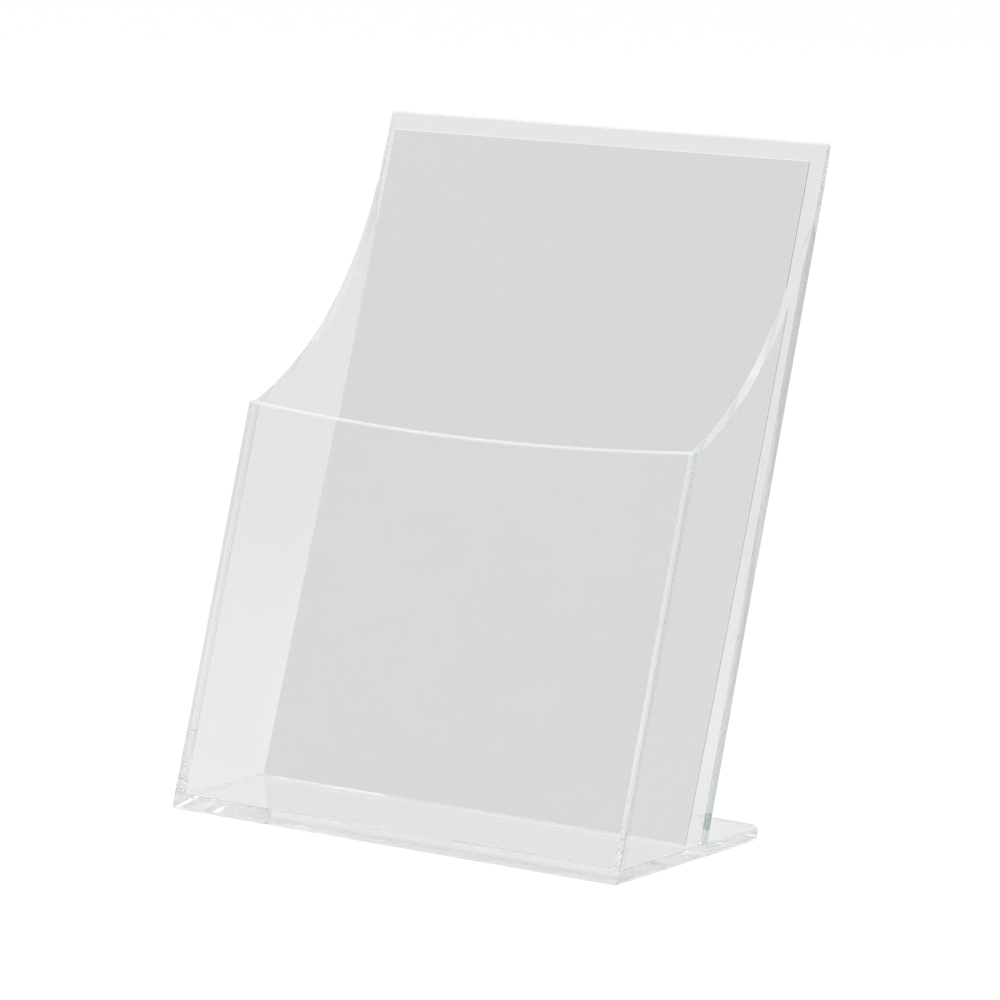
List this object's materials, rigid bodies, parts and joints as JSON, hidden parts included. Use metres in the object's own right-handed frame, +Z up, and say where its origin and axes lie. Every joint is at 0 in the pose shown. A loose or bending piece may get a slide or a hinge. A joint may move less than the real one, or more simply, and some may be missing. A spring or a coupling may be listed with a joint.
{
  "type": "magazine rack",
  "caption": "Clear free-standing tabletop magazine rack: a leaning open pocket with dipped front and curved sides on a footed base, and a grey card insert.",
  "frame": {"origin": "on the surface the rack stands on, at the middle of its overall width and depth", "axes": "+X to the reader's right, +Y towards the back, +Z up"},
  "size_m": [0.221, 0.1556, 0.3],
  "materials": {
    "clear_base": "clear cast acrylic, polished faces and edges",
    "clear_sheet": "clear cast acrylic, polished faces and flame-polished edges",
    "grey_card": "matt neutral grey display card"
  },
  "bodies": {
    "rack": {"base_plate": "clear_base", "back_panel": "clear_sheet", "front_panel": "clear_sheet", "left_side": "clear_sheet", "right_side": "clear_sheet"},
    "insert": {"card_insert": "grey_card"}
  },
  "joints": [
    {"name": "card_lift", "type": "slide", "parent": "rack", "child": "insert", "axis": [0, 0.2588, 0.9659], "range_m": [0, 0.31]}
  ]
}
